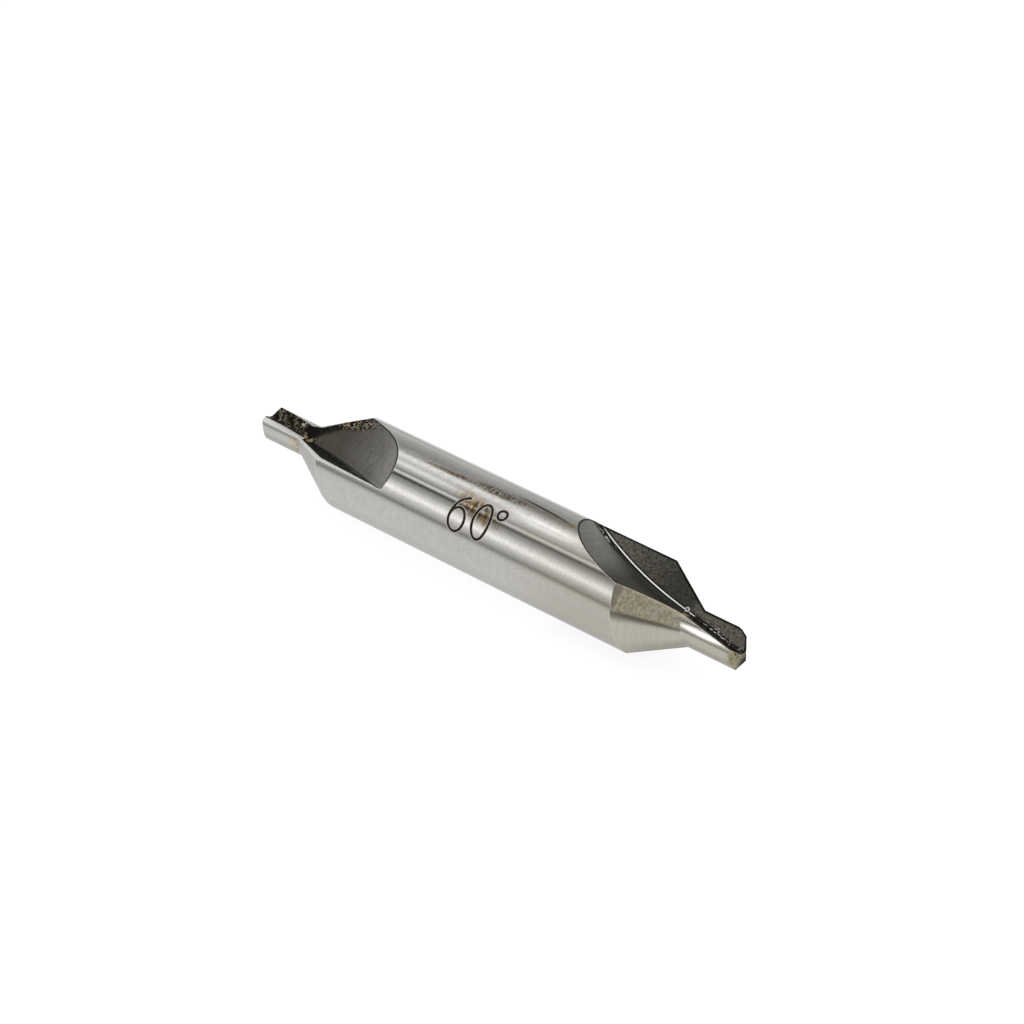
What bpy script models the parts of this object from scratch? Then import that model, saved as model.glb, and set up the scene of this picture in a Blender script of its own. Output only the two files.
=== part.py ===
"""Centre drill: a double-ended combined drill and countersink, ground from one piece of high-speed steel.

It is made in the order in which the real one is. A bar is turned with a little stock left on its two ends.
Each end then gets two relieved lands, two point facets and two straight flutes, 180 degrees apart.
The axis lies along X, with the origin at the middle of the shank.

At each end the work is done in that end's own frame, which is then turned into place. There, x runs from the
shoulder (the shank's last full circle at a lip) towards the tip, y along the cutting lip and z into the flute.
"""

import math

import bmesh
import bpy
from mathutils import Matrix, Vector

MM = 0.001

# Driving dimensions
SHANK_DIAMETER = 8.0 * MM
SHANK_LENGTH = 31.45 * MM  # from shoulder to shoulder
COUNTERSINK_ANGLE = math.radians(60.0)
PILOT_DIAMETER = 3.0 * MM
PILOT_LENGTH = 4.04 * MM  # from the countersink to the outer corner of a lip
POINT_ANGLE = math.radians(118.0)

# Relief behind the lips
SHOULDER_RELIEF = 5.6 * MM  # how far the cone would draw back at the shoulder in a whole turn behind its lip
CONE_ROOT_RELIEF = 3.6 * MM  # the same where the cone meets the pilot
PILOT_RELIEF = 0.5 * MM  # how far the pilot's radius would fall in a whole turn behind its lip
POINT_RELIEF = math.radians(24.0)

# Flutes
WEB_THICKNESS = 0.6 * MM  # between the two cutting faces
FLUTE_ANGLE = math.radians(105.2)  # between the cutting face and the foot of the back wall
FLUTE_SLOPE = math.radians(10.2)  # of the flute's root towards the axis, going to the tip
FLUTE_ROOT_AT_SHOULDER = 1.28 * MM  # the root's distance along the lip from the axis, at the shoulder
FLUTE_ROOT_RADIUS = 0.25 * MM
BACK_WALL_RADIUS = 9.6 * MM  # the back wall curves away from the cutting face as it rises
BACK_WALL_SWEEP = math.radians(25.0)
WHEEL_RADIUS = 35.3 * MM  # of the grinding wheel that leaves the run-out
WHEEL_LIFT = 1.5 * MM  # how far ahead of the shoulder the wheel starts to lift

# Where the two ends differ. An end's turn is that of its first lip about the axis. The left end's flutes are
# the shorter. The right end's point is ground unevenly, so its second lip reaches farther out and is flatter.
RIGHT_END_TURN = math.radians(38.6)
LEFT_END_TURN = math.radians(-21.7)
LEFT_FLUTES_SHORT = 0.65 * MM
UNEVEN_LIP_LONGER = 0.55 * MM
UNEVEN_LIP_FLATTER = math.radians(11.0)

# Stock that the blank has before its ends are ground, and how far the cutters reach past the steel
STOCK = 0.6 * MM
OVERRUN = 1.5 * MM

# Fineness of the round surfaces
TURNING_STEPS = 120
RELIEF_STEPS = 45
WHEEL_STEPS = 24
ROOT_STEPS = 5
BACK_WALL_STEPS = 8

# What follows from the dimensions
SHANK_RADIUS = SHANK_DIAMETER / 2
PILOT_RADIUS = PILOT_DIAMETER / 2
CONE_SLOPE = math.tan(COUNTERSINK_ANGLE / 2)
CONE_LENGTH = (SHANK_RADIUS - PILOT_RADIUS) / CONE_SLOPE
CORNER_X = CONE_LENGTH + PILOT_LENGTH
POINT_LENGTH = PILOT_RADIUS / math.tan(POINT_ANGLE / 2)
TIP_X = CORNER_X + POINT_LENGTH
HALF_WEB = WEB_THICKNESS / 2

# The stretch of a land that its relief is ground over, both ends of which lie in open flutes
RELIEF_AHEAD = math.radians(30.0)
RELIEF_BEHIND = math.radians(105.0)

# How much longer and flatter a lip is where its point is ground evenly
EVEN = (0.0, 0.0)

# The drill's material slots
BRIGHT = 0
DARK = 1


def clear_scene():
    for obj in list(bpy.data.objects):
        bpy.data.objects.remove(obj, do_unlink=True)


def new_collection(name):
    collection = bpy.data.collections.new(name)
    bpy.context.scene.collection.children.link(collection)
    return collection


def steel(name, colour, roughness):
    material = bpy.data.materials.new(name)
    material.use_nodes = True
    shader = material.node_tree.nodes["Principled BSDF"]
    shader.inputs["Base Color"].default_value = (*colour, 1.0)
    shader.inputs["Metallic"].default_value = 1.0
    shader.inputs["Roughness"].default_value = roughness
    material.diffuse_color = (*colour, 1.0)
    return material


def object_from(name, bm, collection, materials):
    bmesh.ops.recalc_face_normals(bm, faces=bm.faces)
    mesh = bpy.data.meshes.new(name)
    bm.to_mesh(mesh)
    bm.free()
    for material in materials:
        mesh.materials.append(material)
    obj = bpy.data.objects.new(name, mesh)
    collection.objects.link(obj)
    return obj


def blank_profile():
    """Half the outline of the turned bar, from the right end's centre along the outside to the left end's."""
    half = SHANK_LENGTH / 2
    pilot = PILOT_RADIUS + STOCK
    right = [
        (half + TIP_X + STOCK, 0.0),
        (half + TIP_X + STOCK, pilot),
        (half + STOCK + (SHANK_RADIUS - pilot) / CONE_SLOPE, pilot),
        (half + STOCK, SHANK_RADIUS),
    ]
    left = [(-x, radius) for x, radius in reversed(right)]
    return right + left


def turned_blank(collection, materials):
    """The bar with its stock, turned about X by a Screw modifier."""
    mesh = bpy.data.meshes.new("centre_drill")
    points = [(x, radius, 0.0) for x, radius in blank_profile()]
    edges = [(index, index + 1) for index in range(len(points) - 1)]
    mesh.from_pydata(points, edges, [])
    for material in materials:
        mesh.materials.append(material)
    obj = bpy.data.objects.new("centre_drill", mesh)
    collection.objects.link(obj)
    screw = obj.modifiers.new("turning", "SCREW")
    screw.axis = "X"
    screw.angle = 2 * math.pi
    screw.steps = TURNING_STEPS
    screw.render_steps = TURNING_STEPS
    screw.use_merge_vertices = True
    screw.merge_threshold = 0.001 * MM
    screw.use_smooth_shade = True
    return obj


def relief_section(behind):
    """What a land's relief grinding clears at an angle behind its lip, as (x, radius) points.

    The cone draws back from the tip, and the pilot's radius falls, in step with the angle.
    """
    turns = behind / (2 * math.pi)
    pilot = PILOT_RADIUS - PILOT_RELIEF * turns
    shoulder_x = -SHOULDER_RELIEF * turns
    root_x = (SHANK_RADIUS - pilot) / CONE_SLOPE - CONE_ROOT_RELIEF * turns
    past = OVERRUN * (root_x - shoulder_x) / (SHANK_RADIUS - pilot)
    far = TIP_X + STOCK + OVERRUN
    return [
        (shoulder_x - past, SHANK_RADIUS + OVERRUN),
        (root_x, pilot),
        (far, pilot),
        (far, SHANK_RADIUS + OVERRUN),
    ]


def relief_cutter():
    """The space outside one land, lofted through the sections that its relief gives round the axis."""
    bm = bmesh.new()
    step = (RELIEF_AHEAD + RELIEF_BEHIND) / RELIEF_STEPS
    rings = []
    for index in range(RELIEF_STEPS + 1):
        behind = index * step - RELIEF_AHEAD
        across = Vector((0.0, math.cos(behind), -math.sin(behind)))
        section = relief_section(behind)
        rings.append([bm.verts.new(Vector((x, 0.0, 0.0)) + radius * across) for x, radius in section])
    for ring, following in zip(rings, rings[1:]):
        for corner in range(len(ring)):
            before = corner - 1
            bm.faces.new((ring[before], ring[corner], following[corner], following[before]))
    bm.faces.new(rings[0])
    bm.faces.new(rings[-1])
    return bm


def arc(start, heading, radius, turn, steps):
    """Points after start along an arc in the (along the lip, square to it) plane; turn is positive to the left."""
    side = math.copysign(math.pi / 2, turn)
    centre = start + radius * Vector((math.cos(heading + side), math.sin(heading + side)))
    points = []
    for index in range(1, steps + 1):
        angle = heading - side + turn * index / steps
        points.append(centre + radius * Vector((math.cos(angle), math.sin(angle))))
    return points


def flute_section():
    """The wheel's rim in section, from the flute's sharp corner: x out along the cutting face, y square to it.

    It runs in along the cutting face, round the small root radius and up the curved back wall.
    """
    foot = Vector((FLUTE_ROOT_RADIUS / math.tan(FLUTE_ANGLE / 2), 0.0))
    root = arc(foot, math.pi, FLUTE_ROOT_RADIUS, FLUTE_ANGLE - math.pi, ROOT_STEPS)
    wall = arc(root[-1], FLUTE_ANGLE, BACK_WALL_RADIUS, BACK_WALL_SWEEP, BACK_WALL_STEPS)
    leaving = FLUTE_ANGLE + BACK_WALL_SWEEP
    top = wall[-1] + SHANK_DIAMETER * Vector((math.cos(leaving), math.sin(leaving)))
    return [Vector((SHANK_DIAMETER, 0.0)), foot, *root, *wall, top, Vector((SHANK_DIAMETER, top.y))]


def flute_cutter(short):
    """What the grinding wheel sweeps: straight in from beyond the tip, then an arc of its own radius lifting out.

    The wheel's axle is square to the cutting face, so its flat side leaves that face as one plane.
    """
    along = Vector((math.cos(FLUTE_SLOPE), -math.sin(FLUTE_SLOPE), 0.0))
    outward = Vector((math.sin(FLUTE_SLOPE), math.cos(FLUTE_SLOPE), 0.0))
    square = Vector((0.0, 0.0, 1.0))
    root_y = FLUTE_ROOT_AT_SHOULDER - WHEEL_LIFT * math.tan(FLUTE_SLOPE)
    corner = Vector((WHEEL_LIFT + short, root_y, HALF_WEB))
    run = (TIP_X + STOCK + OVERRUN) / math.cos(FLUTE_SLOPE)
    lift = math.acos(1 - (SHANK_RADIUS + OVERRUN) / WHEEL_RADIUS)
    bm = bmesh.new()
    section = [corner + point.x * outward + point.y * square for point in flute_section()]
    start = [bm.verts.new(point + run * along) for point in section]
    swept = bmesh.ops.extrude_face_region(bm, geom=[bm.faces.new(start)])["geom"]
    verts = [item for item in swept if isinstance(item, bmesh.types.BMVert)]
    bmesh.ops.translate(bm, verts=verts, vec=-run * along)
    end = [item for item in swept if isinstance(item, bmesh.types.BMFace)]
    bmesh.ops.spin(
        bm,
        geom=end,
        cent=corner + WHEEL_RADIUS * outward,
        axis=square,
        angle=-lift,
        steps=WHEEL_STEPS,
        use_merge=False,
        use_normal_flip=False,
        use_duplicate=False,
    )
    bmesh.ops.delete(bm, geom=end, context="FACES_ONLY")
    return bm


def point_cutter(longer, flatter):
    """A block whose one face is the point's facet behind a lip: it falls away from the lip and from the axis."""
    lip_y = math.sqrt(PILOT_RADIUS**2 - HALF_WEB**2)
    corner = Vector((CORNER_X + longer, lip_y, HALF_WEB))
    half_angle = POINT_ANGLE / 2 + flatter
    along_lip = Vector((math.cos(half_angle), -math.sin(half_angle), 0.0))
    behind_lip = Vector((-math.tan(POINT_RELIEF), 0.0, -1.0))
    normal = along_lip.cross(behind_lip).normalized()
    if normal.x < 0:
        normal.negate()
    size = 2 * SHANK_DIAMETER
    bm = bmesh.new()
    bmesh.ops.create_cube(bm, size=size)
    turn = Matrix((along_lip, along_lip.cross(normal), normal)).transposed().to_4x4()
    place = Matrix.Translation(corner + normal * size / 2)
    bmesh.ops.transform(bm, matrix=place @ turn, verts=bm.verts)
    return bm


def cut(drill, cutter, name):
    cutter.hide_render = True
    cutter.display_type = "WIRE"
    boolean = drill.modifiers.new(name, "BOOLEAN")
    boolean.operation = "DIFFERENCE"
    boolean.solver = "EXACT"
    boolean.object = cutter


def grind_end(drill, cutters, side, turn, flutes_short, uneven):
    """Both lands, point facets and flutes of one end. Each number is one of its two lips, half a turn apart."""
    facing = Matrix.Rotation(math.pi if side == "left" else 0.0, 4, "Z")
    out = Matrix.Translation((SHANK_LENGTH / 2, 0.0, 0.0))
    for number, (longer, flatter) in ((1, EVEN), (2, uneven)):
        lip = Matrix.Rotation(turn + math.pi * (number - 1), 4, "X")
        made = (
            ("relief", relief_cutter(), BRIGHT),
            ("point", point_cutter(longer, flatter), BRIGHT),
            ("flute", flute_cutter(flutes_short), DARK),
        )
        for work, bm, finish in made:
            bmesh.ops.transform(bm, matrix=lip @ facing @ out, verts=bm.verts)
            for face in bm.faces:
                face.material_index = finish
            name = f"{side}_{work}_{number}"
            cut(drill, object_from(name, bm, cutters, drill.data.materials), name)


def main():
    clear_scene()
    parts = new_collection("centre drill")
    cutters = new_collection("cutters")
    bright = steel("ground high-speed steel", (0.55, 0.54, 0.52), 0.3)
    dark = steel("flute-ground high-speed steel", (0.16, 0.15, 0.14), 0.45)
    drill = turned_blank(parts, (bright, dark))
    grind_end(drill, cutters, "right", RIGHT_END_TURN, 0.0, (UNEVEN_LIP_LONGER, UNEVEN_LIP_FLATTER))
    grind_end(drill, cutters, "left", LEFT_END_TURN, LEFT_FLUTES_SHORT, EVEN)


main()
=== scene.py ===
"""The looks of a centre drill: one bar of high-speed steel, ground at both ends, on a pale studio floor.

The drill is built again, with the same sizes as its solid and far finer surfaces, and its mark is engraved.
Its finishes are those of the real one: a ground shank, relief-ground lands with a straw film, and dark flutes
with burrs in them. Light and shade are also painted into some colours: painted highlights along the edges, the
left lip and the right roots, painted shade beside the roots, in shut-in corners and deep in the flutes, painted
reflections on the shank and the left cutting face, and a painted shadow under the drill in the floor as the
steel shows it. The axis lies along X, with the origin at the middle of the shank.
"""

import math
import random

import bmesh
import bpy
from mathutils import Matrix, Vector
from mathutils.bvhtree import BVHTree


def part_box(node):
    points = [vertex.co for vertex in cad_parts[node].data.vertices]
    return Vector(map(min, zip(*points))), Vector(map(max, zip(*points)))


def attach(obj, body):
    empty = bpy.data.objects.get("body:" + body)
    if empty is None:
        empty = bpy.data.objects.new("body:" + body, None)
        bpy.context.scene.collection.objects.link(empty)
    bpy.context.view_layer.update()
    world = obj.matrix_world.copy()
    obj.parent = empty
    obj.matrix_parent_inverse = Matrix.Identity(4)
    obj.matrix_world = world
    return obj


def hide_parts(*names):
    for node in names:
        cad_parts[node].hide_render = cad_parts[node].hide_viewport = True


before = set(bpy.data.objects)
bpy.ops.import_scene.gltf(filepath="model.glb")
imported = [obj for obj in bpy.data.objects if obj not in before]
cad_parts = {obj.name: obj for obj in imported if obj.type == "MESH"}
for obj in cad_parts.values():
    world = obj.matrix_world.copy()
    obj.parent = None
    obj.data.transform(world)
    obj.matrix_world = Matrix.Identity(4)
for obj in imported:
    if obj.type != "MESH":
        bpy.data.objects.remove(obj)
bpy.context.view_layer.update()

MM = 0.001
NODE = "centre_drill"

# The drill's sizes
SHANK_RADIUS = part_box(NODE)[1].z
SHANK_LENGTH = 31.45 * MM  # from shoulder to shoulder
CONE_SLOPE = math.tan(math.radians(60.0) / 2)
PILOT_RADIUS = 1.5 * MM
PILOT_LENGTH = 4.04 * MM
POINT_ANGLE = math.radians(118.0)
CONE_LENGTH = (SHANK_RADIUS - PILOT_RADIUS) / CONE_SLOPE
CORNER_X = CONE_LENGTH + PILOT_LENGTH
TIP_X = CORNER_X + PILOT_RADIUS / math.tan(POINT_ANGLE / 2)

# Relief behind the lips, for a whole turn
SHOULDER_RELIEF = 5.6 * MM
CONE_ROOT_RELIEF = 3.6 * MM
PILOT_RELIEF = 0.5 * MM
POINT_RELIEF = math.radians(24.0)

# Flutes
HALF_WEB = 0.3 * MM
FLUTE_ANGLE = math.radians(105.2)
FLUTE_SLOPE = math.radians(10.2)
FLUTE_ROOT_AT_SHOULDER = 1.28 * MM
FLUTE_ROOT_RADIUS = 0.25 * MM
BACK_WALL_RADIUS = 9.6 * MM
BACK_WALL_SWEEP = math.radians(25.0)
WHEEL_RADIUS = 35.3 * MM
WHEEL_LIFT = 1.5 * MM

# Where the two ends differ
RIGHT_END_TURN = math.radians(38.6)
LEFT_END_TURN = math.radians(-21.7)
LEFT_FLUTES_SHORT = 0.65 * MM
# The point's facets behind a lip: how much longer than usual each is, its angle from the axis, and the size
# of the block that cuts it. A worn corner has two steeper facets, whose blocks don't reach the countersink.
WIDE = 4 * SHANK_RADIUS
NARROW = 3.0 * MM
TRUE = ((0.0, POINT_ANGLE / 2, WIDE),)
LONGER = ((0.55 * MM, math.radians(70.0), WIDE),)
WORN = (*TRUE, (-0.5 * MM, math.radians(28.0), NARROW), (-0.65 * MM, math.radians(14.0), NARROW))

# Stock on the blank, the cutters' reach past the steel and the arc that a land's relief is ground over
STOCK = 0.6 * MM
OVERRUN = 1.5 * MM
RELIEF_AHEAD = math.radians(30.0)
RELIEF_BEHIND = math.radians(105.0)

# Fineness of the round surfaces
TURNING_STEPS = 480
RELIEF_STEPS = 180
WHEEL_STEPS = 96
ROOT_STEPS = 16
BACK_WALL_STEPS = 36
STROKE_STEPS = 72
WELD = 0.0004 * MM
SHARP_EDGE = math.radians(18.0)

# The strip of a cutting face beside the root and the wall's first steps, which are painted dark as shade, and
# the steps of the root that are burnished and, at the right end, painted bright as a highlight
BESIDE_ROOT = 0.11 * MM
BRIGHT_ROOT_STEPS = 5
DARK_WALL_STEPS = 5

# The engraved mark: the countersink's angle in degrees, in single strokes cut by hand a little out of square.
# Its middle is in mm along the shank and degrees round it from the front, and its size in mm. Each stroke is
# part of an oval: its middle, half its width and height, and the angles where it starts and ends.
MARK_MIDDLE = (0.6, 43.0)
MARK_TILT = math.radians(4.0)
MARK_SIZE = (4.9, 2.9)
STROKE_RADIUS = 0.12 * MM
MARK_STROKES = (
    ((1.40, 0.95), (1.40, 1.95), 95.0, 176.0),
    ((0.75, 0.95), (0.75, 0.95), 0.0, 360.0),
    ((3.00, 1.45), (0.75, 1.45), 0.0, 360.0),
    ((4.50, 2.50), (0.40, 0.40), 0.0, 360.0),
)

# The drill's material slots
SHANK = 0
LAND = 1
WALL = 2
FACE = 3
ROOT = 4
CORNER = 5
MARK = 6

# How far the rounding of the ground edges reaches, and so the painted highlights along them
EDGE_RADIUS = 0.1 * MM

# Stains on the shank, and soft patches of painted shade, painted highlight and painted reflection: the middle
# (mm along, degrees round) and half size of a soft patch, its tilt and bow, the colour, the size of its spots in
# mm along X, Y and Z, and where their pattern starts and is full
TICKS = (0.11, 0.35, 0.35)
BLOTCHES = (0.5, 0.5, 0.5)
SMEARS = (0.3, 0.6, 0.6)
SHANK_STAINS_AND_PAINTED_LIGHT = (
    # Painted shade: the top of the shank darker on the right
    ((6.5, 106.0), (9.0, 26.0), 0.0, 0.0, "#AFAEAA", BLOTCHES, -1.0, 0.3),
    ((0.0, 82.0), (17.0, 22.0), 0.0, 0.0, "#A4A29C", (0.3, 0.3, 0.3), 0.46, 0.78),
    ((8.5, 54.0), (8.0, 8.5), 0.0, 0.0, "#C2BFB0", BLOTCHES, -1.0, 1.3),
    ((11.5, 20.0), (8.0, 7.0), 0.0, 0.0, "#C4BFA6", BLOTCHES, -1.0, 2.0),
    ((5.4, 88.0), (4.4, 7.5), -0.04, 0.0, "#9B978C", BLOTCHES, 0.2, 0.5),
    ((-3.7, 81.5), (3.6, 4.2), 0.03, 0.0, "#8C7A5C", BLOTCHES, 0.3, 0.7),
    ((-3.7, 81.2), (3.4, 3.4), 0.03, 0.0, "#5E4A30", TICKS, 0.46, 0.54),
    ((0.9, 85.0), (3.8, 8.5), 0.02, 0.0, "#8F7D62", BLOTCHES, 0.35, 0.7),
    ((0.9, 85.0), (3.8, 8.5), 0.02, 0.0, "#564634", TICKS, 0.47, 0.56),
    ((5.0, 92.5), (4.0, 2.2), -0.07, 1.1, "#45423B", BLOTCHES, 0.0, 0.3),
    ((0.2, 55.0), (3.3, 17.0), -0.24, 0.0, "#A08C68", SMEARS, 0.36, 0.56),
    ((0.4, 54.0), (3.0, 15.0), -0.24, 0.0, "#6A5434", (0.2, 0.8, 0.8), 0.47, 0.60),
    ((8.0, 86.5), (0.4, 3.5), 0.0, 0.0, "#A08C58", (0.2, 0.2, 0.2), 0.3, 0.5),
    ((10.0, -8.0), (0.7, 6.0), 0.0, 0.0, "#B8B090", BLOTCHES, 0.3, 0.9),
    # Painted reflection: a warmer, darker tint low on the right, for a warm floor seen in the steel
    ((13.5, -28.0), (9.0, 56.0), 0.0, 0.0, "#AFACA1", BLOTCHES, -1.0, 0.7),
    # Painted highlights: two light patches high on the front
    ((-6.5, 64.5), (5.5, 5.0), 0.0, 0.0, "#F4F2EE", BLOTCHES, -1.0, 4.0),
    ((6.6, 69.0), (5.0, 7.0), 0.0, 0.0, "#F4F2EC", BLOTCHES, -1.0, 1.3),
)
# Stains on the lands, each with its middle, half size, colour and limits: the right point's dark tip and tan
# film, tan spots at the left pilot's root, dark lines on the right countersink, a clean patch on the right pilot
LAND_STAINS = (
    ((25.0, -90.0), (0.5, 200.0), "#45413A", -1.0, -0.5),
    ((24.6, 3.0), (0.75, 60.0), "#A29A7C", 0.30, 0.50),
    ((24.75, 3.0), (0.5, 50.0), "#56502F", 0.47, 0.58),
    ((-20.2, 8.0), (0.9, 40.0), "#BBA985", 0.30, 0.60),
    ((-20.0, 12.0), (0.35, 30.0), "#8C7646", 0.45, 0.60),
    ((17.2, 16.0), (3.9, 4.4), "#878170", -1.0, 0.1),
    ((14.75, 33.0), (0.5, 30.0), "#8C8779", -1.0, 1.1),
    ((21.6, 34.0), (2.6, 17.0), "#F2F0EA", -1.0, -0.5),
)

# Burrs that grinding left: each cluster's middle in mm, how far it spreads, how many crumbs and how large.
# They sit where the steel is nearest. Curls are rings of fine wire: their place, radius and thickness in mm.
GOLDEN_CRUMBS = (
    ((-20.0, -0.5, 0.6), 0.30, 20, 0.08),
    ((-19.1, -0.8, 0.65), 0.32, 14, 0.075),
    ((-20.8, 0.2, 1.0), 0.30, 14, 0.08),
    ((-16.4, 0.6, 2.6), 0.50, 26, 0.07),
    ((-15.3, 0.9, 3.0), 0.50, 16, 0.065),
    ((19.4, -0.3, 1.0), 0.25, 16, 0.075),
)
BRIGHT_CRUMBS = (
    ((8.9, 2.3, 2.75), 0.25, 10, 0.07),
    ((9.8, 1.9, 2.45), 0.32, 16, 0.07),
    ((10.5, 2.1, 2.25), 0.20, 5, 0.05),
    ((20.8, 0.35, 0.65), 0.25, 5, 0.07),
    ((21.9, 0.15, 0.50), 0.28, 6, 0.07),
    ((23.4, -0.05, 0.35), 0.25, 5, 0.06),
    ((24.3, -0.15, 0.28), 0.2, 4, 0.06),
    ((-15.8, 0.8, 2.85), 0.5, 12, 0.06),
    ((-14.3, 0.9, 3.25), 0.4, 8, 0.055),
    ((-20.7, 0.2, 1.0), 0.2, 6, 0.09),
)
BRIGHT_CURLS = (((18.8, 0.5, 0.84), 0.16, 0.085), ((9.6, 1.9, 2.5), 0.12, 0.05))
GOLDEN_CURLS = (((-19.1, -0.85, 0.64), 0.25, 0.065), ((-19.8, -0.6, 0.58), 0.14, 0.05))
CRUMB_SEED = 7
CRUMB_STRETCH = (0.5, 1.3)
CRUMB_HEIGHT = 0.6
CRUMB_ROUGHNESS = (0.7, 1.25)
CURL_SIDES = 10
CURL_STEPS = 20

# Where the finishes, and the painted light and shade, change along X, in mm: where each change starts, and where
# it is full
# The shank's warmer tint is a painted reflection of a warm floor
SHANK_WARMER = (4.0, 11.0)
SHANK_DULLER = (-6.0, 4.0)
STRAW_ENDS = (19.55, 19.25)
# The painted highlights along the lands' edges fade here
LAND_RIMS_FADE = (14.0, 15.0)
# Painted shade darkens the flutes from here
WALL_DEEPER = (9.0, 16.0)
WALL_PALER = (-10.9, -9.6)
# The right wall turns darker towards its pilot
WALL_DARKER_RIGHT = (11.8, 14.2)
LEFT_CONE_FROM = (-15.2, -15.8)
CAKED_FROM = (-18.4, -19.3)
FLAKED_FROM = (-19.9, -20.6)
# The right root's painted highlight runs between these
ROOT_BRIGHT_FROM = (8.6, 9.4)
ROOT_BRIGHT_TO = (19.6, 19.2)

# Camera
CAMERA_AIM = Vector((0.58, 1.36, 1.29)) * MM
CAMERA_AZIMUTH = math.radians(41.32)
CAMERA_ELEVATION = math.radians(33.25)
CAMERA_DISTANCE = 281.1 * MM
CAMERA_LENS = 127.17
CAMERA_SENSOR = 36.0
CAMERA_CLIP = (0.01, 20.0)

# The studio, as degrees of roll about X from the front (0) over the top (90) to the back (180), and how
# bright it is there. Long soft boxes lie along the drill, with gaps between them, and the walls are pale.
STUDIO = (
    (-180.0, 0.85),
    (-12.0, 0.85),
    (-6.0, 0.62),
    (1.0, 0.32),
    (7.0, 0.66),
    (16.0, 0.99),
    (20.0, 1.17),
    (25.0, 1.66),
    (30.0, 1.70),
    (36.0, 1.20),
    (42.0, 0.95),
    (46.0, 0.66),
    (54.0, 0.45),
    (58.0, 0.10),
    (61.5, 0.07),
    (65.5, 1.25),
    (67.5, 1.25),
    (70.5, 0.42),
    (73.0, 0.42),
    (77.0, 0.75),
    (83.0, 1.00),
    (88.0, 1.20),
    (92.0, 0.92),
    (97.0, 0.95),
    (102.0, 1.25),
    (108.0, 1.55),
    (113.0, 1.30),
    (116.5, 0.75),
    (125.0, 0.60),
    (133.0, 0.46),
    (157.0, 0.63),
    (180.0, 0.85),
)
# The same for what comes from the right of the drill, where a dimmer wall stands
STUDIO_RIGHT = (
    (-180.0, 0.85),
    (-14.0, 0.85),
    (-7.0, 0.45),
    (-2.0, 0.30),
    (5.0, 0.45),
    (12.0, 0.52),
    (75.0, 0.52),
    (100.0, 0.80),
    (180.0, 0.85),
)
# Where the right wall and the pale walls at the drill's two ends start and are full, as the share of the
# direction that lies along X, and how bright the end walls are
STUDIO_RIGHT_FROM = 0.05
STUDIO_RIGHT_TO = 0.22
STUDIO_END_FROM = 0.8
STUDIO_END_TO = 0.95
STUDIO_END = 0.9

# The floor's half size, its own glow and the glow's share beside the floor's white paint, to the eye and as
# the steel shows it
FLOOR_SIZE = 3.0
FLOOR_GLOW = 1.3
FLOOR_SHARE = 0.68
FLOOR_GLOW_IN_STEEL = 1.06
FLOOR_SHARE_IN_STEEL = 0.85
# How much of its glow the floor keeps in the steel: distances in mm from the axis, and the share kept there,
# first under the drill, where the loss is a painted shadow, and then far off
PAINTED_SHADOW_UNDER_DRILL = ((2.4, 5.0), (0.72, 1.0))
FAR_OFF = ((20.0, 110.0), (1.0, 0.4))


def linear(code):
    """A linear colour from its sRGB hex code."""
    levels = [int(code[start : start + 2], 16) / 255 for start in (1, 3, 5)]
    straight = [level / 12.92 if level <= 0.04045 else ((level + 0.055) / 1.055) ** 2.4 for level in levels]
    return (*straight, 1.0)


def add(tree, kind, inputs=None, **settings):
    """Adds a node with its settings. An input is a value, an output, or a node for its first output."""
    node = tree.nodes.new(kind)
    for name, value in settings.items():
        setattr(node, name, value)
    for socket, value in (inputs or {}).items():
        if isinstance(value, bpy.types.Node):
            value = value.outputs[0]
        if isinstance(value, bpy.types.NodeSocket):
            tree.links.new(value, node.inputs[socket])
        else:
            node.inputs[socket].default_value = value
    return node


# Geometry


def object_from(bm, name, materials=()):
    bmesh.ops.recalc_face_normals(bm, faces=bm.faces)
    mesh = bpy.data.meshes.new(name)
    bm.to_mesh(mesh)
    bm.free()
    for material in materials:
        mesh.materials.append(material)
    obj = bpy.data.objects.new(name, mesh)
    bpy.context.scene.collection.objects.link(obj)
    return obj


def blank_outline():
    """Half the outline of the turned bar as (x, radius), from the right end's centre to the left end's."""
    half = SHANK_LENGTH / 2
    pilot = PILOT_RADIUS + STOCK
    right = [
        (half + TIP_X + STOCK, 0.0),
        (half + TIP_X + STOCK, pilot),
        (half + STOCK + (SHANK_RADIUS - pilot) / CONE_SLOPE, pilot),
        (half + STOCK, SHANK_RADIUS),
    ]
    return right + [(-x, radius) for x, radius in reversed(right)]


def turned_blank():
    bm = bmesh.new()
    verts = [bm.verts.new((x, radius, 0.0)) for x, radius in blank_outline()]
    edges = [bm.edges.new(pair) for pair in zip(verts, verts[1:])]
    bmesh.ops.spin(
        bm,
        geom=verts + edges,
        cent=(0.0, 0.0, 0.0),
        axis=(1.0, 0.0, 0.0),
        angle=2 * math.pi,
        steps=TURNING_STEPS,
        use_merge=True,
        use_normal_flip=False,
        use_duplicate=False,
    )
    bmesh.ops.remove_doubles(bm, verts=bm.verts, dist=WELD)
    return bm


def relief_section(behind):
    """The corners of what a land's relief clears, at an angle behind its lip.

    The cone draws back from the tip, and the pilot's radius falls, in step with the angle.
    """
    turns = behind / (2 * math.pi)
    pilot = PILOT_RADIUS - PILOT_RELIEF * turns
    shoulder_x = -SHOULDER_RELIEF * turns
    root_x = (SHANK_RADIUS - pilot) / CONE_SLOPE - CONE_ROOT_RELIEF * turns
    past = OVERRUN * (root_x - shoulder_x) / (SHANK_RADIUS - pilot)
    far = TIP_X + STOCK + OVERRUN
    outer = SHANK_RADIUS + OVERRUN
    across = Vector((0.0, math.cos(behind), -math.sin(behind)))
    corners = ((shoulder_x - past, outer), (root_x, pilot), (far, pilot), (far, outer))
    return [Vector((x, 0.0, 0.0)) + radius * across for x, radius in corners]


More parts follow.
